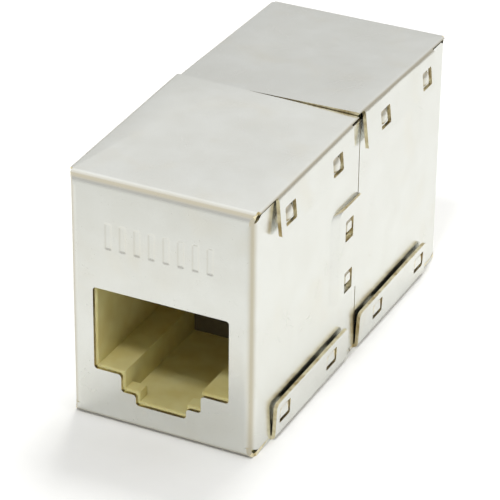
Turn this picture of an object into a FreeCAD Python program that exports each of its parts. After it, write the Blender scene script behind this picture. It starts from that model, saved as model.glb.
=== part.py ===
import FreeCAD
import Part
import math
import os

# RJ45 inline coupler. Two identical half shields, each folded from one plated sheet, plug into each other
# at mid-length. Each holds a moulded jack housing with a contact carrier and eight spring contacts, and one
# circuit board joins the two sets of contacts.
# X runs across the jacks, Y from the front jack to the rear one, Z is up. Lengths are millimetres.
# A half is drawn with its jack face at y = 0 and the middle of the coupler at y = half_length, and then
# moved into place. The rear half is the front half turned half round.

# Driving dimensions
body_width = 16.0  # over the side panels
body_height = 21.7
body_length = 37.2
sheet = 0.3  # plated brass
half_length = body_length / 2

# Folds of the half shield
side_bend = 0.8  # outer radius from jack face to side panel
face_bend = 0.75  # outer radius from jack face to top and bottom
flange_bend = 0.45  # outer radius from top or bottom to a flange
flange_gap = 0.05  # between a side panel and the flange folded over it
edge_gap = 0.1  # between a side panel's edge and the top or bottom
seam_gap = 0.12  # between the two half shields
seam = half_length - seam_gap / 2
panel_lead = {"pocket": 0.7, "tongue": -0.7}  # how far a side panel runs past mid-length
flange_face = body_width / 2 + flange_gap + sheet  # outer face of a flange at its bend
flat_half = flange_face - flange_bend  # half width of the flat of the top
panel_root = 0.8  # where the top and bottom leave the bend of the jack face
side_low = sheet + edge_gap
top_rise = {"pocket": 0.22, "tongue": 0.52}  # the top's open end springs up, more on the tongue's side
base_rise = {"pocket": 0, "tongue": 0}
sides = {"pocket": 1, "tongue": -1}

# Corner notches of the blank
notch_drop = 1.0  # from the top to the end of the side bend
notch_run = 1.2  # length of the side panel's sloping corner
notch_side = 0.45  # cut back of the top at the jack face

# Snap flanges, measured from the jack face and from the seam. Beyond a flange the sheet is cut off across
# its bend, raw_turn degrees into it.
flange_start = 3.5
flange_stop = {"pocket": 1.4, "tongue": 0.8}
top_flange = {"height": 3.4, "splay": 0.33, "corner": 0.25, "raw_turn": 40}
base_flange = {"height": 3.3, "splay": 0.17, "corner": 0.5, "raw_turn": 15}
top_windows = {"places": (5.3, 14.0), "drop": 2.1, "height": 1.6}
base_windows = {"places": (5.1, 13.95), "drop": 1.95, "height": 1.4}
window_length = 1.88
window_corner = 0.15

# Round bosses pressed out of the side panels, one in each upper window
boss_high = 0.62
boss_half = 0.88  # half its width
boss_ball = (boss_high**2 + boss_half**2) / (2 * boss_high)  # radius of its round crown
boss_shift = 0.05  # from the middle of its window towards the middle of the panel

# Tabs raised from the sheet, their lower edges sheared free over a slot: one in each lower window, and one
# on the tongue for each catch
base_tab = {"length": 1.7, "height": 1.0, "rise": 0.38, "run": 0.12, "slot": 0.25}
catch_tab = {"length": 1.38, "height": 0.98, "rise": 0.28, "run": 0.25, "slot": 0.58}
tab_gap = 0.08  # between a tab and the upper edge of its window
tab_wall = 0.15  # the hollow behind a tab is this much narrower
tab_corner = 0.2

# Pocket on one side panel, and the tongue of the other half that slides into it, placed from mid-length
pocket_low = 6.3
pocket_high = 14.8
pocket_front = 4.6
pocket_slope = 1.2  # run of the sloping front wall
pocket_step = 0.1  # run of the upper and lower walls
pocket_corner = 0.6
tongue_low = 6.75
tongue_high = 14.25
tongue_reach = 3.25
tongue_corner = 0.8
catch_heights = (7.7, 12.5)
catch_place = 1.5
catch_window = {"length": 1.5, "height": 1.9}

# Jack opening: half widths and heights, from the top down
jack_top = 12.05
jack_shelf = 4.65
jack_step = 3.1
jack_floor = 2.2
jack_half = 5.95
channel_half = 3.53
notch_half = 2.23
jack_corner = 0.28

# Jack housing
wall_gap = 0.1  # between the housing and the side and top panels
housing_half = body_width / 2 - sheet - wall_gap
housing_top = body_height - sheet - wall_gap
housing_lip = 0.14  # the moulded cavity is this much smaller than the jack opening
cavity_depth = 12.4
lug_depth = 1.6
edge_round = 0.3
lintel_depth = 3.9
window_half = 4.3  # the window over the cavity for the contact springs
chamber_half = 6.4
chamber_front = 1.6
chamber_top = 20.2

# Contact carrier
carrier_half = 5.2
carrier_low = 12.4
carrier_high = 14.6
carrier_front = 5.4
carrier_back = 17.9
carrier_wall = 1.6
comb_slot = 0.62
comb_low = 8.9
comb_depth = 0.9

# Contacts
contact_count = 8
contact_pitch = 1.02
contact_width = 0.42
contact_thick = 0.3
contact_run = carrier_high - 0.45
contact_nose = lintel_depth + 0.3
contact_drop = 11.6
contact_tip = (12.95, 9.6)
contact_bend = 1.2
tail_bend = 0.35
tail_rows = (14.9, 17.0)
tail_top = 16.8

# Circuit board
board_half = 7.1
board_thick = 1.2
board_front = 2.2
board_corner = 0.6
board_hole = 0.38
groove_half = board_half + 0.05

across = FreeCAD.Vector(1, 0, 0)
along = FreeCAD.Vector(0, 1, 0)
up = FreeCAD.Vector(0, 0, 1)


def point(x, y, z):
    return FreeCAD.Vector(x, y, z)


# Three ways to lay a flat drawing into space.
def on_level(z):
    return lambda a, b: point(a, b, z)


def on_side(x):
    return lambda a, b: point(x, a, b)


def on_end(y):
    return lambda a, b: point(a, y, b)


def block(x_range, y_range, z_range):
    size = [high - low for low, high in (x_range, y_range, z_range)]
    corner = point(x_range[0], y_range[0], z_range[0])
    return Part.makeBox(size[0], size[1], size[2], corner)


def heading(start, end):
    length = math.dist(start, end)
    return (end[0] - start[0]) / length, (end[1] - start[1]) / length


# Edges along straight runs between the corners, each corner bent to its radius. The line is moved sideways
# by shift, plus to its left, and its bends keep their centres.
def bent_line(corners, radii, shift, lay):
    headings = [heading(a, b) for a, b in zip(corners, corners[1:])]
    last = headings[-1]
    pen = (corners[0][0] - headings[0][1] * shift, corners[0][1] + headings[0][0] * shift)
    end = (corners[-1][0] - last[1] * shift, corners[-1][1] + last[0] * shift)
    edges = []
    for corner, radius, come, go in zip(corners[1:-1], radii, headings, headings[1:]):
        cosine = come[0] * go[0] + come[1] * go[1]
        turn = math.atan2(come[0] * go[1] - come[1] * go[0], cosine)
        lean = shift / (1 + cosine)
        tip = (corner[0] - (come[1] + go[1]) * lean, corner[1] + (come[0] + go[0]) * lean)
        side = math.copysign(1, turn)
        bend = radius - side * shift if radius else 0
        reach = bend * math.tan(abs(turn) / 2)
        enter = (tip[0] - come[0] * reach, tip[1] - come[1] * reach)
        leave = (tip[0] + go[0] * reach, tip[1] + go[1] * reach)
        edges.append(Part.makeLine(lay(*pen), lay(*enter)))
        if bend:
            centre = (enter[0] - come[1] * side * bend, enter[1] + come[0] * side * bend)
            out = heading(centre, tip)
            crown = (centre[0] + out[0] * bend, centre[1] + out[1] * bend)
            edges.append(Part.Arc(lay(*enter), lay(*crown), lay(*leave)).toShape())
        pen = leave
    edges.append(Part.makeLine(lay(*pen), lay(*end)))
    return edges


# Closed outline of a bent strip between two sideways shifts of one line.
def strip_outline(corners, radii, shifts, lay):
    inner, outer = [bent_line(corners, radii, shift, lay) for shift in shifts]
    start_cap = Part.makeLine(inner[0].firstVertex().Point, outer[0].firstVertex().Point)
    end_cap = Part.makeLine(inner[-1].lastVertex().Point, outer[-1].lastVertex().Point)
    return Part.Wire(Part.__sortEdges__(inner + [end_cap] + outer + [start_cap]))


# Closed outline through the corners, each rounded to its radius.
def closed_outline(corners, radii, lay):
    middle = [(a + b) / 2 for a, b in zip(corners[-1], corners[0])]
    edges = bent_line([middle] + corners + [middle], radii, 0, lay)
    return Part.Wire(Part.__sortEdges__(edges))


# Closed polygon with rounded corners, drawn flat and pushed out into a solid.
def prism(corners, radius, lay, push):
    radii = [radius] * len(corners) if isinstance(radius, (int, float)) else radius
    return Part.Face(closed_outline(corners, radii, lay)).extrude(push)


# A patch of sheet raised from the given plane: a wide foot, and a smaller crest at the height of its rise.
def raised_patch(foot, crest, radii, plane, rise):
    loops = [closed_outline(foot, radii, on_side(plane)), closed_outline(crest, radii, on_side(plane + rise))]
    return Part.makeLoft(loops, True, True)


def rectangle(a_range, b_range):
    left, right = a_range
    low, high = b_range
    return [(left, low), (right, low), (right, high), (left, high)]


def joined(shapes):
    return shapes[0].multiFuse(shapes[1:]).removeSplitter()


# The mirror image of a shape made at the top, for use at the bottom.
def at_base(shape):
    return shape.mirror(point(0, 0, body_height / 2), up)


# The cross outline of a jack: wide above two shelves, a channel between them and a notch for the latch.
def jack_outline(inset, with_lugs):
    top = jack_top - inset
    shelf = jack_shelf + inset
    step = jack_step + inset
    floor = jack_floor + inset
    wide = jack_half - inset
    channel = channel_half - inset
    notch = notch_half - inset
    right = [(channel, shelf), (wide, shelf), (wide, top)]
    if with_lugs:
        right = [(notch, floor), (notch, step), (channel, step)] + right
    else:
        right = [(channel, floor)] + right
    left = [(-a, b) for a, b in reversed(right)]
    return right + left


# Presses a round boss of even wall out of a side panel.
def with_boss(shield, side, y, z):
    outside = side * body_width / 2
    centre = point(outside + side * (boss_high - boss_ball), y, z)
    beyond = block(sorted([outside - side * sheet, outside + side]), [y - 1, y + 1], [z - 1, z + 1])
    crown = Part.makeSphere(boss_ball, centre).common(beyond)
    hollow = Part.makeSphere(boss_ball - sheet, centre)
    return shield.fuse(crown).cut(hollow)


# The form of a tab, drawn in by inset on its three closed sides.
def tab_form(side, y, top, tab, inset):
    low = top - tab["height"]
    high = top - inset
    left = y - tab["length"] / 2 + inset
    right = y + tab["length"] / 2 - inset
    foot = rectangle((left, right), (low, high))
    crest = rectangle((left + tab["run"], right - tab["run"]), (low, high - tab["run"]))
    radii = [0, 0, tab_corner, tab_corner]
    return raised_patch(foot, crest, radii, side * body_width / 2, side * tab["rise"])


# Raises a tab from a side panel or a tongue, hollow behind, and shears its lower edge free over a slot.
def with_tab(shield, side, y, top, tab):
    low = top - tab["height"]
    hollow = tab_form(side, y, top, tab, tab_wall).translated(point(-side * sheet, 0, 0))
    slot = rectangle((y - tab["length"] / 2, y + tab["length"] / 2), (low - tab["slot"], low))
    slot = prism(slot, 0, on_side(side * body_width / 2 - 1), across * 2)
    return shield.fuse(tab_form(side, y, top, tab, 0)).cut(hollow).cut(slot)


# The jack face with both side panels: one U seen from above, its corners sloping away from the face.
def side_wrap():
    half = body_width / 2
    ends = {neighbour: seam + lead for neighbour, lead in panel_lead.items()}
    corners = [(-half, ends["tongue"]), (-half, 0), (half, 0), (half, ends["pocket"])]
    outline = strip_outline(corners, [side_bend] * 2, (0, sheet), on_level(side_low))
    wrap = Part.Face(outline).extrude(up * (body_height - 2 * side_low))
    start = body_height - notch_drop
    finish = body_height - side_low
    over = body_height + 1
    slope = [(-1, start), (0, start), (notch_run, finish), (notch_run, over), (-1, over)]
    notch = prism(slope, 0, on_side(-half - 1), across * (body_width + 2))
    return wrap.cut(notch).cut(at_base(notch))


# The jack face with the roots of the top and the bottom: one C seen from the side.
def face_wrap():
    corners = [(panel_root, body_height), (0, body_height), (0, 0), (panel_root, 0)]
    outline = strip_outline(corners, [face_bend] * 2, (0, sheet), on_side(-flat_half))
    wrap = Part.Face(outline).extrude(across * 2 * flat_half)
    half = body_width / 2
    inner = half - notch_side
    slant = [(inner, -1), (inner, 0), (half + 1, 1 + notch_side), (half + 1, -1)]
    middle = [notch_drop, body_height - notch_drop]
    for side in (-1, 1):
        corner = [(side * a, b) for a, b in slant]
        wrap = wrap.cut(prism(corner, 0, on_level(-1), up * (body_height + 2)))
        beyond = sorted([side * (half - side_bend), side * (half + 1)])
        wrap = wrap.cut(block(beyond, [-1, 1], middle))
    return wrap


# The outline of the top and its two flanges, seen from the open end.
def cover_outline(flange, y):
    foot = body_height - flange["height"]
    corners = [
        (-flange_face - flange["splay"], foot),
        (-flange_face, body_height),
        (flange_face, body_height),
        (flange_face + flange["splay"], foot),
    ]
    return strip_outline(corners, [flange_bend] * 2, (0, -sheet), on_end(y))


# All that lies past the raw edge of the top on one side, where no flange is left. It leans with the top.
def past_raw_edge(flange, side, rise):
    turn = math.radians(flange["raw_turn"])
    level = body_height - flange_bend
    edge = (flat_half + math.sin(turn), level + math.cos(turn))
    corners = [(flat_half, level), edge, (body_width, edge[1]), (body_width, 0), (flat_half, 0)]
    corners = [(side * a, b) for a, b in corners]
    return prism(corners, 0, on_end(0), (along * seam + up * rise) * 2)


# The top with its flanges folded down over the side panels. Its open end is sprung up on the tongue's side.
def cover(flange, windows, rise):
    root, rim = [cover_outline(flange, y) for y in (panel_root, seam)]
    lean = math.degrees(math.atan2(rise["tongue"] - rise["pocket"], 2 * flange_face))
    rim.rotate(point(flange_face, 0, body_height), along, lean)
    rim.translate(up * rise["pocket"])
    panel = Part.makeLoft([root, rim], True, True)
    foot = body_height - flange["height"]
    for neighbour, side in sides.items():
        reach = [flange_start, seam - flange_stop[neighbour]]
        flap = rectangle(reach, (foot, body_height + 2))
        corners = [flange["corner"], flange["corner"], 0, 0]
        flap = prism(flap, corners, on_side(0), across * side * body_width)
        panel = panel.cut(past_raw_edge(flange, side, rise[neighbour]).cut(flap))
        for place in windows["places"]:
            centre = body_height - windows["drop"] + rise[neighbour] * place / seam
            hole = rectangle(
                (place - window_length / 2, place + window_length / 2),
                (centre - windows["height"] / 2, centre + windows["height"] / 2),
            )
            panel = panel.cut(prism(hole, window_corner, on_side(side * body_width / 2), across * side * 2))
    return panel


# The form of the pocket, raised by the sheet's thickness from the given plane. It runs past its panel's edge.
def pocket_form(plane):
    back = half_length + 2
    front = half_length - pocket_front
    foot = rectangle((front, back), (pocket_low, pocket_high))
    crest = rectangle((front + pocket_slope, back), (pocket_low + pocket_step, pocket_high - pocket_step))
    return raised_patch(foot, crest, [pocket_corner, 0, 0, pocket_corner], plane, sheet)


# The pocket with its two catch windows, raised from the side panel and hollow behind.
def with_pocket(shield):
    half = body_width / 2
    within = block([0, body_width], [0, seam + panel_lead["pocket"]], [0, body_height])
    shield = shield.fuse(pocket_form(half).common(within)).cut(pocket_form(half - sheet))
    middle = half_length - catch_place
    for height in catch_heights:
        hole = rectangle(
            (middle - catch_window["length"] / 2, middle + catch_window["length"] / 2),
            (height - catch_window["height"] / 2, height + catch_window["height"] / 2),
        )
        shield = shield.cut(prism(hole, window_corner, on_side(half - 0.1), across))
    return shield


# The tongue that carries on past the seam, with a tab for each catch window.
def with_tongue(shield):
    outline = rectangle((seam - 2, half_length + tongue_reach), (tongue_low, tongue_high))
    corners = [0, tongue_corner, tongue_corner, 0]
    shield = shield.fuse(prism(outline, corners, on_side(-body_width / 2), across * sheet))
    for height in catch_heights:
        top = height + catch_window["height"] / 2 - tab_gap
        shield = with_tab(shield, -1, half_length + catch_place, top, catch_tab)
    return shield


# The bosses and tabs of both side panels, one in each window of the flanges.
def with_snaps(shield):
    for neighbour, side in sides.items():
        for place in top_windows["places"]:
            rise = top_rise[neighbour] * place / seam
            shield = with_boss(shield, side, place, body_height - top_windows["drop"] - boss_shift + rise)
        for place in base_windows["places"]:
            top = base_windows["drop"] + base_windows["height"] / 2 - tab_gap
            shield = with_tab(shield, side, place, top, base_tab)
    return shield


def half_shield():
    top = cover(top_flange, top_windows, top_rise)
    base = at_base(cover(base_flange, base_windows, base_rise))
    shield = joined([side_wrap(), face_wrap(), top, base])
    opening = prism(jack_outline(0, True), jack_corner, on_end(-1), along * 2)
    shield = with_pocket(shield.cut(opening))
    shield = with_tongue(with_snaps(shield))
    return shield.removeSplitter()


# Edges round the mouth of the housing's cavity, which are rounded to lead a plug in.
def is_mouth_edge(edge):
    box = edge.BoundBox
    in_front = abs(box.YMax - sheet) < 0.01
    in_width = max(box.XMax, -box.XMin) < jack_half
    return in_front and in_width and jack_floor < box.ZMin and box.ZMax < jack_top


# Moulded jack housing: the plug cavity below, a chamber for the board above, both open at the back.
def jack_housing():
    body = block([-housing_half, housing_half], [sheet, half_length], [sheet, housing_top])
    front_edges = [e for e in body.Edges if abs(e.CenterOfMass.y - sheet) < 0.01]
    body = body.makeFillet(side_bend - sheet, front_edges)
    outline = jack_outline(housing_lip, True)
    mouth = prism(outline, 0, on_end(0), along * (lug_depth + 0.1))
    cavity = prism(jack_outline(housing_lip, False), 0, on_end(lug_depth), along * half_length)
    body = body.cut(mouth.fuse(cavity).removeSplitter())
    rim = [e for e in body.Edges if is_mouth_edge(e)]
    body = body.makeFillet(edge_round, rim)
    seat = [carrier_low, carrier_high]
    reach = half_length + 1
    window_depth = [lintel_depth, cavity_depth + carrier_wall]
    window = block([-window_half, window_half], window_depth, [jack_top - 1, carrier_high])
    body = body.cut(window)
    body = body.cut(block([-carrier_half, carrier_half], [lintel_depth, reach], seat))
    chamber = block([-chamber_half, chamber_half], [chamber_front, reach], [carrier_high, chamber_top])
    groove = [carrier_high, carrier_high + board_thick]
    body = body.cut(chamber).cut(block([-groove_half, groove_half], [board_front, reach], groove))
    return body.removeSplitter()


# Contact carrier: a slab with a groove for each contact, and a wall with a comb that closes the cavity.
def contact_carrier():
    slab = block([-carrier_half, carrier_half], [carrier_front, carrier_back], [carrier_low, carrier_high])
    nose = [e for e in slab.Edges if abs(e.CenterOfMass.y - carrier_front) < 0.01 and e.BoundBox.XLength > 1]
    slab = slab.makeFillet(contact_bend - contact_thick, nose)
    outline = jack_outline(housing_lip, False)
    wall = prism(outline, 0, on_end(cavity_depth), along * carrier_wall)
    neck_depth = [cavity_depth, cavity_depth + carrier_wall]
    neck = block([-window_half, window_half], neck_depth, [jack_top - 1, carrier_low])
    carrier = slab.fuse(wall).fuse(neck)
    run_floor = contact_run - contact_thick / 2
    for number in range(contact_count):
        x = contact_x(number)
        row = tail_rows[number % 2]
        groove = [x - contact_width / 2, x + contact_width / 2]
        carrier = carrier.cut(block(groove, [0, row + tail_bend + contact_thick], [run_floor, carrier_high]))
        slot = [x - comb_slot / 2, x + comb_slot / 2]
        carrier = carrier.cut(block(slot, [cavity_depth, cavity_depth + comb_depth], [comb_low, carrier_low]))
    return carrier.removeSplitter()


def contact_x(number):
    return (number - (contact_count - 1) / 2) * contact_pitch


# One contact: a tail through the board, a run along its groove, and a spring folded back into the cavity.
def contact(number):
    row = tail_rows[number % 2]
    corners = [
        (row, tail_top),
        (row, contact_run),
        (contact_nose, contact_run),
        (contact_nose, contact_drop),
        contact_tip,
    ]
    radii = [tail_bend, contact_bend, contact_bend]
    left = contact_x(number) - contact_width / 2
    shifts = (-contact_thick / 2, contact_thick / 2)
    outline = strip_outline(corners, radii, shifts, on_side(left))
    return Part.Face(outline).extrude(across * contact_width)


# The board spans both jacks, and has a plated hole for every tail of the front half and of the rear half.
def circuit_board():
    reach = half_length - board_front
    outline = rectangle((-board_half, board_half), (-reach, reach))
    board = prism(outline, board_corner, on_level(carrier_high), up * board_thick)
    for number in range(contact_count):
        place = point(contact_x(number), tail_rows[number % 2] - half_length, carrier_high)
        hole = Part.makeCylinder(board_hole, board_thick, place)
        board = board.cut(hole).cut(turned(hole))
    return board


# Moves a half from its own drawing to the front end of the coupler.
def at_front(shape):
    return shape.translated(point(0, -half_length, 0))


# Turns a shape half round, from the front end to the rear end.
def turned(shape):
    return shape.rotated(point(0, 0, 0), up, 180)


def half_pieces():
    pieces = {"shield": half_shield(), "jack_housing": jack_housing(), "contact_carrier": contact_carrier()}
    for number in range(contact_count):
        pieces[f"contact_{number + 1}"] = contact(number)
    return pieces


def write_piece(name, shape):
    solids = shape.Solids
    if len(solids) != 1 or not shape.isValid():
        print(f"{name}: {len(solids)} solids, valid {shape.isValid()}")
    solids[0].exportStep(f"parts/{name}.step")


os.makedirs("parts", exist_ok=True)
for name, piece in half_pieces().items():
    front = at_front(piece)
    write_piece(f"front_{name}", front)
    write_piece(f"rear_{name}", turned(front))
write_piece("circuit_board", circuit_board())
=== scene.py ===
import math

import bmesh
import bpy
from mathutils import Matrix, Vector
from mathutils.bvhtree import BVHTree


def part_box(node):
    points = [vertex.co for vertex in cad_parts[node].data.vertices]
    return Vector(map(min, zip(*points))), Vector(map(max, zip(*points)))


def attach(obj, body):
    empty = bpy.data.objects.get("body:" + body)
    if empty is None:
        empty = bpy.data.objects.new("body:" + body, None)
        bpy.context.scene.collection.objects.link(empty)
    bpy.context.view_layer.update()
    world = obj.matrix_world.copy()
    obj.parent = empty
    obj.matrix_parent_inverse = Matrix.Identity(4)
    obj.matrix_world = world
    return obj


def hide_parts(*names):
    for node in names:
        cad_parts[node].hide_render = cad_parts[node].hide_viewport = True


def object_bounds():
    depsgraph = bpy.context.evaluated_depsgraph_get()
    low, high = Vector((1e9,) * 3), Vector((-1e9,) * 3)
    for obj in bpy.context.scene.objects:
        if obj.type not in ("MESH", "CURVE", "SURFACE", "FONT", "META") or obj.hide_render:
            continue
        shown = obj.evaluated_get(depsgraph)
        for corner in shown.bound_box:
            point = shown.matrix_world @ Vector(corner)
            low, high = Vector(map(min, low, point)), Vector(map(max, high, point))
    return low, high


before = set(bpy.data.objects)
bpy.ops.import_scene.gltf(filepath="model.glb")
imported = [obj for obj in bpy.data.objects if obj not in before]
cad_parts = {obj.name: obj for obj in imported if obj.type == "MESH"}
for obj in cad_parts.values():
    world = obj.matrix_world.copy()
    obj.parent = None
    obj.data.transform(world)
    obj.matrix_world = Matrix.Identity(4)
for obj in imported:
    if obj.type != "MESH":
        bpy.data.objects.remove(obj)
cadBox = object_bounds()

# Network coupler: two folded, plated brass shells snapped together, an ivory moulding in each end.
# The scene is in metres. The sizes in the dictionaries are in millimetres, but the softboxes' are in metres.
mm = 0.001


def linear(code):
    # from an sRGB hex value to the linear colour that a shader takes
    channels = [int(code[i:i + 2], 16) / 255 for i in (1, 3, 5)]
    return [c / 12.92 if c <= 0.04045 else ((c + 0.055) / 1.055) ** 2.4 for c in channels] + [1.0]


def addNode(tree, kind, settings=None, links=None):
    # a setting is a property of the node if it has one of that name, and a socket's value otherwise
    node = tree.nodes.new(kind)
    for key, value in (settings or {}).items():
        if isinstance(key, str) and hasattr(node, key):
            setattr(node, key, value)
        else:
            node.inputs[key].default_value = value
    for key, source in (links or {}).items():
        tree.links.new(source, node.inputs[key])
    return node


def perMetre(size):
    return 1 / (size * mm)  # a noise of this scale repeats about every size millimetres


def newMaterial(name):
    material = bpy.data.materials.new(name)
    material.use_nodes = True
    tree = material.node_tree
    tree.nodes.clear()
    place = addNode(tree, "ShaderNodeTexCoord").outputs["Object"]
    return material, tree, place


def finishMaterial(tree, shader):
    addNode(tree, "ShaderNodeOutputMaterial", {}, {"Surface": shader.outputs[0]})


# Brass sheet, barrel plated with satin nickel: a soft warm grey mirror with a fine tooth, cloudy where the
# bath was uneven, with a few hairline rubs from the press.
platedSheet = {
    "bright": "#D9DAD5",
    "dull": "#D2D2CB",
    "warm": "#D3C8AC",  # thin plate, where the brass warms the nickel
    "warmMm": 4.5,
    "warmMost": 0.12,
    "bent": "#B6AF9B",  # painted shade: a darker, warmer tint over the bends, strongest in the middle of a fold
    "bentMost": 0.9,
    "bentSlants": (0.02, 0.22),  # the slant where the painted bend shade begins, and where it is full
    "toothMm": 0.16,  # the real tooth is a tenth of this, drawn coarser so that it shows
    "toothShare": 0.5,  # of the tooth against the clouds, in how bright or dull the nickel is
    "cloudMm": 3.2,
    "dullGain": 0.66,
    "dullShift": -0.1,
    "roughLow": 0.2,
    "roughHigh": 0.28,
    "toothDeep": 0.0005,
    "rippleMm": 7.5,  # the sheet's own slow waves
    "rippleDeep": 0.02,
    "rubMm": 3.4,
    "rubBend": 0.9,  # how far the clouds push the straight hairlines aside
    "rubWide": 0.01,  # of the distance between two rubs
    "rubRough": 0.06,
}


def makePlatedSheet():
    look = platedSheet
    material, tree, place = newMaterial("satin_nickel_plate")
    tooth = addNode(tree, "ShaderNodeTexNoise", {"Scale": perMetre(look["toothMm"]), "Detail": 4.0,
                    "Roughness": 0.65}, {"Vector": place})
    cloud = addNode(tree, "ShaderNodeTexNoise", {"Scale": perMetre(look["cloudMm"]), "Detail": 3.0,
                    "Roughness": 0.55}, {"Vector": place})
    ripple = addNode(tree, "ShaderNodeTexNoise", {"Scale": perMetre(look["rippleMm"]), "Detail": 1.0},
                     {"Vector": place})
    bend = addNode(tree, "ShaderNodeVectorMath", {"operation": "SCALE", "Scale": look["rubBend"] * mm},
                   {0: cloud.outputs["Color"]})
    warped = addNode(tree, "ShaderNodeVectorMath", {"operation": "ADD"}, {0: place, 1: bend.outputs[0]})
    rubs = addNode(tree, "ShaderNodeTexVoronoi", {"feature": "DISTANCE_TO_EDGE",
                   "Scale": perMetre(look["rubMm"])}, {"Vector": warped.outputs[0]})
    rubLine = addNode(tree, "ShaderNodeMapRange", {"From Min": 0.0, "From Max": look["rubWide"],
                      "To Min": 1.0, "To Max": 0.0}, {"Value": rubs.outputs["Distance"]})
    rubHere = addNode(tree, "ShaderNodeMapRange", {"From Min": 0.54, "From Max": 0.62},
                      {"Value": cloud.outputs["Fac"]})
    rub = addNode(tree, "ShaderNodeMath", {"operation": "MULTIPLY"},
                  {0: rubLine.outputs[0], 1: rubHere.outputs[0]})
    shade = addNode(tree, "ShaderNodeMapRange", {"From Min": 0.32, "From Max": 0.68},
                    {"Value": cloud.outputs["Fac"]})
    speck = addNode(tree, "ShaderNodeMath", {"operation": "MULTIPLY_ADD", 1: look["toothShare"]},
                    {0: tooth.outputs["Fac"], 2: shade.outputs[0]})
    mixed = addNode(tree, "ShaderNodeMath", {"operation": "MULTIPLY_ADD", 1: look["dullGain"],
                    2: look["dullShift"], "use_clamp": True}, {0: speck.outputs[0]})
    nickel = addNode(tree, "ShaderNodeMix", {"data_type": "RGBA", 6: linear(look["bright"]),
                     7: linear(look["dull"])}, {0: mixed.outputs[0]})
    bath = addNode(tree, "ShaderNodeTexNoise", {"Scale": perMetre(look["warmMm"]), "Detail": 2.0,
                   "Distortion": 0.6}, {"Vector": place})
    thin = addNode(tree, "ShaderNodeMapRange", {"From Min": 0.54, "From Max": 0.74,
                   "To Max": look["warmMost"]}, {"Value": bath.outputs["Fac"]})
    patchy = addNode(tree, "ShaderNodeMix", {"data_type": "RGBA", 7: linear(look["warm"])},
                     {0: thin.outputs[0], 6: nickel.outputs[2]})
    # painted shade on the bends: the plate turns darker and warmer as its surface turns away from the axes
    slant = addNode(tree, "ShaderNodeAttribute", {"attribute_name": "slant"})
    bent = addNode(tree, "ShaderNodeMapRange", {"From Min": look["bentSlants"][0],
                   "From Max": look["bentSlants"][1], "To Max": look["bentMost"]},
                   {"Value": slant.outputs["Fac"]})
    colour = addNode(tree, "ShaderNodeMix", {"data_type": "RGBA", 7: linear(look["bent"])},
                     {0: bent.outputs[0], 6: patchy.outputs[2]})
    rough = addNode(tree, "ShaderNodeMapRange", {"From Min": 0.3, "From Max": 0.7, "To Min": look["roughLow"],
                    "To Max": look["roughHigh"]}, {"Value": tooth.outputs["Fac"]})
    rougher = addNode(tree, "ShaderNodeMath", {"operation": "MULTIPLY_ADD", 1: look["rubRough"]},
                      {0: rub.outputs[0], 2: rough.outputs[0]})
    wave = addNode(tree, "ShaderNodeBump", {"Strength": 1.0, "Distance": look["rippleDeep"] * mm},
                   {"Height": ripple.outputs["Fac"]})
    fine = addNode(tree, "ShaderNodeBump", {"Strength": 1.0, "Distance": look["toothDeep"] * mm},
                   {"Height": tooth.outputs["Fac"], "Normal": wave.outputs[0]})
    shader = addNode(tree, "ShaderNodeBsdfPrincipled", {"Metallic": 1.0}, {"Base Color": colour.outputs[2],
                     "Roughness": rougher.outputs[0], "Normal": fine.outputs[0]})
    finishMaterial(tree, shader)
    return material


# The bare brass that shows where the plated sheet was cut: honey gold, browned in streaks across the edge.
shearedBrass = {
    "fresh": "#F0E8C8",
    "brown": "#B09B6C",
    "streakMm": 0.35,
    "streakShare": 0.6,  # of the streaks against the patches, in how brown the brass is
    "patchMm": 1.6,
    "roughLow": 0.3,
    "roughHigh": 0.5,
    "streakDeep": 0.006,
}


def makeShearedBrass():
    look = shearedBrass
    material, tree, place = newMaterial("sheared_brass_edge")
    streak = addNode(tree, "ShaderNodeTexNoise", {"Scale": perMetre(look["streakMm"]), "Detail": 3.0,
                     "Roughness": 0.6}, {"Vector": place})
    patch = addNode(tree, "ShaderNodeTexNoise", {"Scale": perMetre(look["patchMm"]), "Detail": 2.0},
                    {"Vector": place})
    both = addNode(tree, "ShaderNodeMath", {"operation": "MULTIPLY_ADD", 1: look["streakShare"]},
                   {0: streak.outputs["Fac"], 2: patch.outputs["Fac"]})
    brown = addNode(tree, "ShaderNodeMapRange", {"From Min": 0.62, "From Max": 1.05},
                    {"Value": both.outputs[0]})
    colour = addNode(tree, "ShaderNodeMix", {"data_type": "RGBA", 6: linear(look["fresh"]),
                     7: linear(look["brown"])}, {0: brown.outputs[0]})
    rough = addNode(tree, "ShaderNodeMapRange", {"From Min": 0.3, "From Max": 0.7, "To Min": look["roughLow"],
                    "To Max": look["roughHigh"]}, {"Value": streak.outputs["Fac"]})
    bump = addNode(tree, "ShaderNodeBump", {"Strength": 1.0, "Distance": look["streakDeep"] * mm},
                   {"Height": streak.outputs["Fac"]})
    shader = addNode(tree, "ShaderNodeBsdfPrincipled", {"Metallic": 1.0}, {"Base Color": colour.outputs[2],
                     "Roughness": rough.outputs[0], "Normal": bump.outputs[0]})
    finishMaterial(tree, shader)
    return material


# Unpainted polyester (PBT), moulded in a spark-eroded tool: a waxy ivory that glows amber in its corners,
# with a fine even grain.
ivoryMoulding = {
    "pale": "#E0D9A0",
    "deep": "#D6CA88",
    "grainMm": 0.14,
    "cloudMm": 2.4,
    "roughLow": 0.37,
    "roughHigh": 0.49,
    "grainDeep": 0.003,
    "glow": 0.12,
    "glowReach": 0.6,
}


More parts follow.
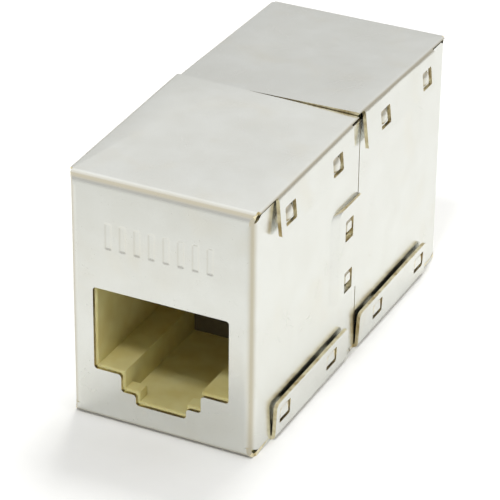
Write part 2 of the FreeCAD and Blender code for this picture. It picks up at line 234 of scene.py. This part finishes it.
def makeIvoryMoulding():
    look = ivoryMoulding
    material, tree, place = newMaterial("ivory_polyester_moulding")
    grain = addNode(tree, "ShaderNodeTexNoise", {"Scale": perMetre(look["grainMm"]), "Detail": 3.0},
                    {"Vector": place})
    cloud = addNode(tree, "ShaderNodeTexNoise", {"Scale": perMetre(look["cloudMm"]), "Detail": 2.0},
                    {"Vector": place})
    shade = addNode(tree, "ShaderNodeMapRange", {"From Min": 0.35, "From Max": 0.65},
                    {"Value": cloud.outputs["Fac"]})
    colour = addNode(tree, "ShaderNodeMix", {"data_type": "RGBA", 6: linear(look["pale"]),
                     7: linear(look["deep"])}, {0: shade.outputs[0]})
    rough = addNode(tree, "ShaderNodeMapRange", {"From Min": 0.3, "From Max": 0.7, "To Min": look["roughLow"],
                    "To Max": look["roughHigh"]}, {"Value": grain.outputs["Fac"]})
    bump = addNode(tree, "ShaderNodeBump", {"Strength": 1.0, "Distance": look["grainDeep"] * mm},
                   {"Height": grain.outputs["Fac"]})
    shader = addNode(tree, "ShaderNodeBsdfPrincipled", {"IOR": 1.55, "Subsurface Weight": look["glow"],
                     "Subsurface Scale": look["glowReach"] * mm, "Subsurface Radius": (1.0, 0.75, 0.3)},
                     {"Base Color": colour.outputs[2], "Roughness": rough.outputs[0],
                     "Normal": bump.outputs[0]})
    finishMaterial(tree, shader)
    return material


# The insert that holds the contacts: glass-filled nylon, coloured dark, with grey fibre flow on its skin.
smokeMoulding = {
    "dark": "#5E564A",
    "flow": "#71695B",
    "flowMm": 0.7,
    "grainMm": 0.12,
    "rough": 0.5,
    "grainDeep": 0.003,
}


def makeSmokeMoulding():
    look = smokeMoulding
    material, tree, place = newMaterial("smoke_nylon_moulding")
    flow = addNode(tree, "ShaderNodeTexNoise", {"Scale": perMetre(look["flowMm"]), "Detail": 3.0,
                   "Distortion": 1.2}, {"Vector": place})
    grain = addNode(tree, "ShaderNodeTexNoise", {"Scale": perMetre(look["grainMm"]), "Detail": 2.0},
                    {"Vector": place})
    colour = addNode(tree, "ShaderNodeMix", {"data_type": "RGBA", 6: linear(look["dark"]),
                     7: linear(look["flow"])}, {0: flow.outputs["Fac"]})
    bump = addNode(tree, "ShaderNodeBump", {"Strength": 1.0, "Distance": look["grainDeep"] * mm},
                   {"Height": grain.outputs["Fac"]})
    shader = addNode(tree, "ShaderNodeBsdfPrincipled", {"IOR": 1.53, "Roughness": look["rough"]},
                     {"Base Color": colour.outputs[2], "Normal": bump.outputs[0]})
    finishMaterial(tree, shader)
    return material


# Phosphor bronze strip with a gold flash: yellow, bright, drawn lengthwise in the rolling mill.
goldFlash = {
    "gold": "#E3BE6A",
    "worn": "#C08A45",
    "drawMm": 0.08,
    "drawStretch": (1.0, 0.06, 1.0),  # the rolling lines run along the strip
    "patchMm": 1.1,
    "roughLow": 0.16,
    "roughHigh": 0.3,
}


def makeGoldFlash():
    look = goldFlash
    material, tree, place = newMaterial("gold_flashed_bronze")
    along = addNode(tree, "ShaderNodeMapping", {"Scale": look["drawStretch"]}, {"Vector": place})
    draw = addNode(tree, "ShaderNodeTexNoise", {"Scale": perMetre(look["drawMm"]), "Detail": 2.0},
                   {"Vector": along.outputs[0]})
    patch = addNode(tree, "ShaderNodeTexNoise", {"Scale": perMetre(look["patchMm"]), "Detail": 2.0},
                    {"Vector": place})
    wear = addNode(tree, "ShaderNodeMapRange", {"From Min": 0.5, "From Max": 0.75},
                   {"Value": patch.outputs["Fac"]})
    colour = addNode(tree, "ShaderNodeMix", {"data_type": "RGBA", 6: linear(look["gold"]),
                     7: linear(look["worn"])}, {0: wear.outputs[0]})
    rough = addNode(tree, "ShaderNodeMapRange", {"From Min": 0.3, "From Max": 0.7, "To Min": look["roughLow"],
                    "To Max": look["roughHigh"]}, {"Value": draw.outputs["Fac"]})
    shader = addNode(tree, "ShaderNodeBsdfPrincipled", {"Metallic": 1.0},
                     {"Base Color": colour.outputs[2], "Roughness": rough.outputs[0]})
    finishMaterial(tree, shader)
    return material


# Glass-epoxy board under green solder mask: glossy lacquer over a faint woven cloth.
boardLaminate = {
    "mask": "#1F5A30",
    "weave": "#2E7241",
    "threadMm": 1.085,  # the real threads are half as wide, drawn coarser so that they show
    "rough": 0.28,
    "threadDeep": 0.004,
}


def makeBoardLaminate():
    look = boardLaminate
    material, tree, place = newMaterial("green_masked_laminate")
    scale = perMetre(look["threadMm"]) * math.pi / 10  # a wave of scale 1 repeats every pi / 10 metres
    warp = addNode(tree, "ShaderNodeTexWave", {"bands_direction": "X", "Scale": scale, "Distortion": 0.4},
                   {"Vector": place})
    weft = addNode(tree, "ShaderNodeTexWave", {"bands_direction": "Y", "Scale": scale, "Distortion": 0.4},
                   {"Vector": place})
    cloth = addNode(tree, "ShaderNodeMath", {"operation": "MULTIPLY"},
                    {0: warp.outputs["Fac"], 1: weft.outputs["Fac"]})
    colour = addNode(tree, "ShaderNodeMix", {"data_type": "RGBA", 6: linear(look["mask"]),
                     7: linear(look["weave"])}, {0: cloth.outputs[0]})
    bump = addNode(tree, "ShaderNodeBump", {"Strength": 1.0, "Distance": look["threadDeep"] * mm},
                   {"Height": cloth.outputs[0]})
    shader = addNode(tree, "ShaderNodeBsdfPrincipled", {"Roughness": look["rough"], "IOR": 1.5},
                     {"Base Color": colour.outputs[2], "Normal": bump.outputs[0]})
    finishMaterial(tree, shader)
    return material


plated = makePlatedSheet()
bareEdge = makeShearedBrass()
ivory = makeIvoryMoulding()
smoke = makeSmokeMoulding()
gold = makeGoldFlash()
laminate = makeBoardLaminate()
print("finishes ready: plate, sheared edge, ivory, smoke, gold, laminate")

shell = {
    "cutDepth": 0.45,  # this much metal straight behind a face makes it a sheared edge
    "weld": 0.002,
    "hair": 0.0005,  # a ray starts this far behind its face
    "edgeRound": 0.035,
    "roundSteps": 2,
    "sharpAngle": 32,
    "flatAngle": 0.4,
}

# The long fold from the top or bottom to a flange. Its mesh is uneven, so its shading is worked out anew.
fold = {
    "radius": 0.45,
    "centre": 7.9,  # half the distance between the two folds of a shell
    "slack": 0.04,
    "past": 0.1,  # how far a fold may run on past its quarter turn, as a part of its radius
    "spring": (3.0, 17.0),  # where the sprung sheet is measured, from the jack face
    "inside": 0.1,  # and how far inside the fold's centre line
    "far": 100,  # the rays that find the sheet start this far above or below the part
}


def markCutFaces(build):
    # a face with far more than one sheet of metal behind it is a sheared edge
    tree = BVHTree.FromBMesh(build)
    for face in build.faces:
        start = face.calc_center_median() - face.normal * shell["hair"] * mm
        found, _, _, depth = tree.ray_cast(start, -face.normal)
        face.material_index = 0 if found and depth <= shell["cutDepth"] * mm else 1


def roundEdges(build):
    bmesh.ops.dissolve_limit(build, angle_limit=math.radians(shell["flatAngle"]), verts=build.verts,
                             edges=build.edges, delimit={"MATERIAL"})
    sharpest = math.radians(shell["sharpAngle"])
    sharp = [edge for edge in build.edges if edge.is_manifold and edge.calc_face_angle(0) > sharpest]
    bmesh.ops.bevel(build, geom=sharp, offset=shell["edgeRound"] * mm, segments=shell["roundSteps"],
                    profile=0.5, affect="EDGES", clamp_overlap=True, offset_type="OFFSET")


def foldLines(build, faceY, side):
    # the centre line of each of the four folds: a point on it, its direction, and the way it bulges
    tree = BVHTree.FromBMesh(build)
    lines = []
    for across in (-1, 1):
        for down in (-1, 1):
            points = []
            for reach in fold["spring"]:
                start = Vector((across * (fold["centre"] - fold["inside"]) * mm, faceY - side * reach * mm,
                                -down * fold["far"] * mm))
                hit = tree.ray_cast(start, Vector((0, 0, down)))[0]
                centreZ = hit.z + down * fold["radius"] * mm
                points.append(Vector((across * fold["centre"] * mm, hit.y, centreZ)))
            lines.append((points[0], (points[1] - points[0]).normalized(), across, -down))
    return lines


def foldNormal(spot, lines):
    # straight out from the fold's centre line, or nothing where the spot isn't on a fold
    for point, way, across, outward in lines:
        arm = spot - point
        arm -= way * arm.dot(way)
        onFold = abs(arm.length - fold["radius"] * mm) < fold["slack"] * mm
        if onFold and arm.x * across > 0 and arm.z * outward > -fold["past"] * arm.length:
            return arm.normalized()
    return None


def shadeSmooth(mesh, lines):
    # large flat faces keep their own direction; folds get their true round; the rest is blended
    near = math.cos(math.radians(shell["sharpAngle"]))
    around = [[] for _ in mesh.vertices]
    for face in mesh.polygons:
        for corner in face.vertices:
            around[corner].append((face.normal.copy(), face.area))
    onFold = [foldNormal(vertex.co, lines) for vertex in mesh.vertices]
    normals = []
    for face in mesh.polygons:
        for corner in face.vertices:
            radial = onFold[corner]
            if radial and radial.dot(face.normal) > near:
                normals.append(radial)
                continue
            blend = Vector()
            for normal, area in around[corner]:
                if normal.dot(face.normal) > near:
                    blend += normal * area
            normals.append(blend.normalized())
    mesh.normals_split_custom_set(normals)
    # how far each corner leans away from the nearest axis: nothing on a panel, most in the middle of a bend;
    # the plate's painted bend shade is drawn from it
    slant = mesh.attributes.new("slant", "FLOAT", "CORNER")
    slant.data.foreach_set("value", [1 - max(abs(part) for part in normal) for normal in normals])


# Eight plain strokes, one for each contact, are pressed into the jack face, so they stay inside its plane.
strokes = {
    "count": 8,
    "pitch": 1.26,
    "long": 2.5,
    "wide": 0.5,
    "deep": 0.06,
    "soft": 0.2,  # run of a stroke's flank
    "middleX": -0.1,
    "middleZ": 16.85,
    "marginX": 0.7,
    "marginZ": 0.35,
    "step": 0.05,
    "flat": 0.001,  # a face this near the jack face's plane belongs to it
    "aim": 0.9999,  # and so does its direction, as a cosine
    "snap": 0.0001,  # corners this near a cut are moved onto it
}


def strokeDepth(x, z):
    look = strokes
    deepest = 0.0
    for number in range(look["count"]):
        centre = (number - (look["count"] - 1) / 2) * look["pitch"]
        outX = max(abs(x - centre) - look["wide"] / 2 + look["soft"] / 2, 0.0)
        outZ = max(abs(z) - look["long"] / 2 + look["wide"] / 2, 0.0)
        away = math.hypot(outX, outZ) / look["soft"]
        if away < 1:
            deepest = max(deepest, 0.5 + 0.5 * math.cos(math.pi * away))
    return deepest * look["deep"]


def fieldHalves():
    # half the width and height of the field that the strokes stand in
    look = strokes
    return (look["count"] - 1) / 2 * look["pitch"] + look["marginX"], look["long"] / 2 + look["marginZ"]


def openField(build, faceY, side):
    # the field's rectangle comes out of the jack face, and the strokes' finer mesh takes its place
    look = strokes
    halfX, halfZ = fieldHalves()
    centre = Vector((-side * look["middleX"] * mm, faceY, look["middleZ"] * mm))
    reach = Vector((halfX * mm, 0, halfZ * mm))

    def jackFace():
        return [face for face in build.faces if face.normal.y * side > look["aim"]
                and abs(face.calc_center_median().y - faceY) < look["flat"] * mm]

    for axis in (Vector((1, 0, 0)), Vector((0, 0, 1))):
        for way in (-1, 1):
            faces = jackFace()
            edges = list({edge for face in faces for edge in face.edges})
            corners = list({corner for face in faces for corner in face.verts})
            bmesh.ops.bisect_plane(build, geom=corners + edges + faces, dist=look["snap"] * mm,
                                   plane_co=centre + axis * way * reach.dot(axis), plane_no=axis)
    inside = [face for face in jackFace() if abs(face.calc_center_median().x - centre.x) < reach.x
              and abs(face.calc_center_median().z - centre.z) < reach.z]
    bmesh.ops.delete(build, geom=inside, context="FACES")


def addStrokes(build, faceY, side):
    look = strokes
    halfX, halfZ = fieldHalves()
    countX = round(2 * halfX / look["step"])
    countZ = round(2 * halfZ / look["step"])
    rows = []
    for row in range(countZ + 1):
        z = -halfZ + 2 * halfZ * row / countZ
        line = []
        for column in range(countX + 1):
            x = -halfX + 2 * halfX * column / countX
            spot = (-side * (x + look["middleX"]) * mm, faceY - side * strokeDepth(x, z) * mm,
                    (look["middleZ"] + z) * mm)
            line.append(build.verts.new(spot))
        rows.append(line)
    for low, high in zip(rows, rows[1:]):
        for corners in zip(low, low[1:], high[1:], high):
            build.faces.new(corners)


def makeShell(nodeName, side):
    low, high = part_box(nodeName)
    faceY = low.y if side < 0 else high.y
    build = bmesh.new()
    build.from_mesh(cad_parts[nodeName].data)
    bmesh.ops.remove_doubles(build, verts=build.verts, dist=shell["weld"] * mm)
    build.normal_update()
    markCutFaces(build)
    lines = foldLines(build, faceY, side)
    openField(build, faceY, side)
    roundEdges(build)
    addStrokes(build, faceY, side)
    build.normal_update()
    mesh = bpy.data.meshes.new(nodeName + "_folded")
    build.to_mesh(mesh)
    build.free()
    mesh.materials.append(plated)
    mesh.materials.append(bareEdge)
    shadeSmooth(mesh, lines)
    piece = bpy.data.objects.new(nodeName + "_folded", mesh)
    bpy.context.scene.collection.objects.link(piece)
    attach(piece, "root")
    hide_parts(nodeName)
    return piece


for nodeName, side in (("front_shield", -1), ("rear_shield", 1)):
    piece = makeShell(nodeName, side)
    print("folded shell", piece.name, len(piece.data.polygons), "faces")


def dress(nodeName, material):
    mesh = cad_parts[nodeName].data
    mesh.materials.clear()
    mesh.materials.append(material)


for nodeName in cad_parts:
    if "jack_housing" in nodeName:
        dress(nodeName, ivory)
    elif "carrier" in nodeName:
        dress(nodeName, smoke)
    elif "_contact_" in nodeName:
        dress(nodeName, gold)
    elif nodeName == "circuit_board":
        dress(nodeName, laminate)
print("mouldings, contacts and board dressed")

studio = {
    "floorHalf": 3000,
    "floorSquares": 12,
    "floor": "#F8F8F6",
    "floorWorn": "#F5F5F3",
    "paintedFloorShade": "#D6D6D3",  # painted shade: the floor greys further out in front of the part, so that the jack face mirrors a dimmer floor
    "paintedShadeFrom": 12,  # in front of the part, where the painted shade begins
    "paintedShadeTo": 52,
    "fibreMm": 1.5,
    "floorLift": 0.06,  # the small part of the floor's white that is its own
    "floorGap": 0.01,  # below the lowest point of the part
}

# One overcast sky: dim at the horizon, bright overhead. Metal mirrors all of it. Whatever isn't shiny gets
# less of it, fading to the front. Seen directly it is plain white.
sky = {
    "low": 0.78,
    "high": 1.27,
    "riseFrom": 0.3,
    "riseTo": 0.7,
    "frontDim": 0.5,
    "frontFrom": 0.1,
    "frontTo": -0.6,
    "fill": 0.44,  # how much of it lights what isn't shiny
}

# Softboxes light the moulding and the floor. The metal doesn't mirror them, so it has no hot spots.
softboxes = {
    "overhead": {"from": (0.05, -0.46, 0.89), "size": 0.14, "watts": 3.2},
    "behind": {"from": (-0.05, 0.45, 0.92), "size": 0.3, "watts": 4.8},
    "right": {"from": (0.9, 0.6, 0.8), "size": 0.9, "watts": 2.0},
    "side": {"from": (0.92, -0.15, 0.4), "size": 0.2, "watts": 1.4},
}


def makeFloor():
    look = studio
    build = bmesh.new()
    bmesh.ops.create_grid(build, x_segments=look["floorSquares"], y_segments=look["floorSquares"],
                          size=look["floorHalf"] * mm)
    mesh = bpy.data.meshes.new("studio_floor")
    build.to_mesh(mesh)
    build.free()
    material, tree, place = newMaterial("matt_card_floor")
    fibre = addNode(tree, "ShaderNodeTexNoise", {"Scale": perMetre(look["fibreMm"]), "Detail": 2.0},
                    {"Vector": place})
    colour = addNode(tree, "ShaderNodeMix", {"data_type": "RGBA", 6: linear(look["floor"]),
                     7: linear(look["floorWorn"])}, {0: fibre.outputs["Fac"]})
    axis = addNode(tree, "ShaderNodeSeparateXYZ", {}, {0: place})
    # painted shade on the floor, growing from a little in front of the part to full further out
    paintedShadeAmount = addNode(tree, "ShaderNodeMapRange", {"interpolation_type": "SMOOTHSTEP",
                       "From Min": cadBox[0][1] - look["paintedShadeFrom"] * mm,
                       "From Max": cadBox[0][1] - look["paintedShadeTo"] * mm}, {"Value": axis.outputs["Y"]})
    paintedShadeFloor = addNode(tree, "ShaderNodeMix", {"data_type": "RGBA", 7: linear(look["paintedFloorShade"])},
                     {0: paintedShadeAmount.outputs[0], 6: colour.outputs[2]})
    card = addNode(tree, "ShaderNodeBsdfDiffuse", {}, {"Color": paintedShadeFloor.outputs[2]})
    ray = addNode(tree, "ShaderNodeLightPath")
    seen = addNode(tree, "ShaderNodeMath", {"operation": "ADD"},
                   {0: ray.outputs["Is Camera Ray"], 1: ray.outputs["Is Glossy Ray"]})
    seenToo = addNode(tree, "ShaderNodeMath", {"operation": "ADD", "use_clamp": True},
                      {0: seen.outputs[0], 1: ray.outputs["Is Transmission Ray"]})
    amount = addNode(tree, "ShaderNodeMath", {"operation": "MULTIPLY", 1: look["floorLift"]},
                     {0: seenToo.outputs[0]})
    lift = addNode(tree, "ShaderNodeEmission", {"Color": (1, 1, 1, 1)}, {"Strength": amount.outputs[0]})
    shader = addNode(tree, "ShaderNodeAddShader", {}, {0: card.outputs[0], 1: lift.outputs[0]})
    finishMaterial(tree, shader)
    mesh.materials.append(material)
    floor = bpy.data.objects.new("studio_floor", mesh)
    floor.location.z = cadBox[0][2] - look["floorGap"] * mm
    bpy.context.scene.collection.objects.link(floor)


def makeSky():
    look = sky
    world = bpy.data.worlds.new("overcast_sky")
    bpy.context.scene.world = world
    world.use_nodes = True
    tree = world.node_tree
    tree.nodes.clear()
    way = addNode(tree, "ShaderNodeTexCoord").outputs["Generated"]
    axis = addNode(tree, "ShaderNodeSeparateXYZ", {}, {0: way})
    rise = addNode(tree, "ShaderNodeMapRange", {"interpolation_type": "SMOOTHSTEP",
                   "From Min": look["riseFrom"], "From Max": look["riseTo"], "To Min": look["low"],
                   "To Max": look["high"]}, {"Value": axis.outputs["Z"]})
    front = addNode(tree, "ShaderNodeMapRange", {"interpolation_type": "SMOOTHSTEP",
                    "From Min": look["frontTo"], "From Max": look["frontFrom"],
                    "To Min": 1 - look["frontDim"], "To Max": 1.0}, {"Value": axis.outputs["Y"]})
    glow = addNode(tree, "ShaderNodeMath", {"operation": "MULTIPLY"},
                   {0: rise.outputs[0], 1: front.outputs[0]})
    dimmer = addNode(tree, "ShaderNodeMath", {"operation": "MULTIPLY", 1: look["fill"]},
                     {0: glow.outputs[0]})
    mirrored = addNode(tree, "ShaderNodeBackground", {}, {"Strength": rise.outputs[0]})
    fill = addNode(tree, "ShaderNodeBackground", {}, {"Strength": dimmer.outputs[0]})
    plain = addNode(tree, "ShaderNodeBackground", {"Strength": 1.0})
    for background in (mirrored, fill, plain):
        background.inputs["Color"].default_value = (1, 1, 1, 1)
    ray = addNode(tree, "ShaderNodeLightPath")
    shiny = addNode(tree, "ShaderNodeMath", {"operation": "ADD", "use_clamp": True},
                    {0: ray.outputs["Is Glossy Ray"], 1: ray.outputs["Is Transmission Ray"]})
    lit = addNode(tree, "ShaderNodeMixShader", {}, {0: shiny.outputs[0], 1: fill.outputs[0],
                  2: mirrored.outputs[0]})
    whole = addNode(tree, "ShaderNodeMixShader", {}, {0: ray.outputs["Is Camera Ray"], 1: lit.outputs[0],
                    2: plain.outputs[0]})
    addNode(tree, "ShaderNodeOutputWorld", {}, {"Surface": whole.outputs[0]})


def makeSoftboxes():
    for name, box in softboxes.items():
        data = bpy.data.lights.new("softbox_" + name, "AREA")
        data.shape = "SQUARE"
        data.size = box["size"]
        data.energy = box["watts"]
        lamp = bpy.data.objects.new("softbox_" + name, data)
        lamp.location = box["from"]
        lamp.rotation_euler = (-Vector(box["from"])).to_track_quat("-Z", "Y").to_euler()
        lamp.visible_glossy = False
        bpy.context.scene.collection.objects.link(lamp)


makeFloor()
makeSky()
makeSoftboxes()
print("studio ready: floor, sky and", len(softboxes), "softboxes")

camera = {
    "turn": 25.852,  # degrees round from the front face towards the right side
    "tilt": 28.915,
    "roll": 0.684,
    "distance": 220.22,
    "aim": (-0.582, -1.607, 8.341),  # from the middle of the part's foot
    "lens": 191.143,
    "sensor": 36,
    "near": 10,
    "far": 20000,
}


def makeCamera():
    look = camera
    turn, tilt = math.radians(look["turn"]), math.radians(look["tilt"])
    low, high = [Vector(corner) for corner in cadBox]
    foot = Vector(((low.x + high.x) / 2, (low.y + high.y) / 2, low.z))
    back = Vector((math.sin(turn) * math.cos(tilt), -math.cos(turn) * math.cos(tilt), math.sin(tilt)))
    data = bpy.data.cameras.new("camera")
    data.lens = look["lens"]
    data.sensor_width = look["sensor"]
    data.clip_start = look["near"] * mm
    data.clip_end = look["far"] * mm
    eye = bpy.data.objects.new("camera", data)
    place = foot + Vector(look["aim"]) * mm + back * look["distance"] * mm
    facing = back.to_track_quat("Z", "Y").to_matrix().to_4x4()
    rolled = Matrix.Rotation(math.radians(look["roll"]), 4, "Z")
    eye.matrix_world = Matrix.Translation(place) @ facing @ rolled
    bpy.context.scene.collection.objects.link(eye)
    bpy.context.scene.camera = eye


makeCamera()
bpy.context.scene.view_settings.view_transform = "Standard"
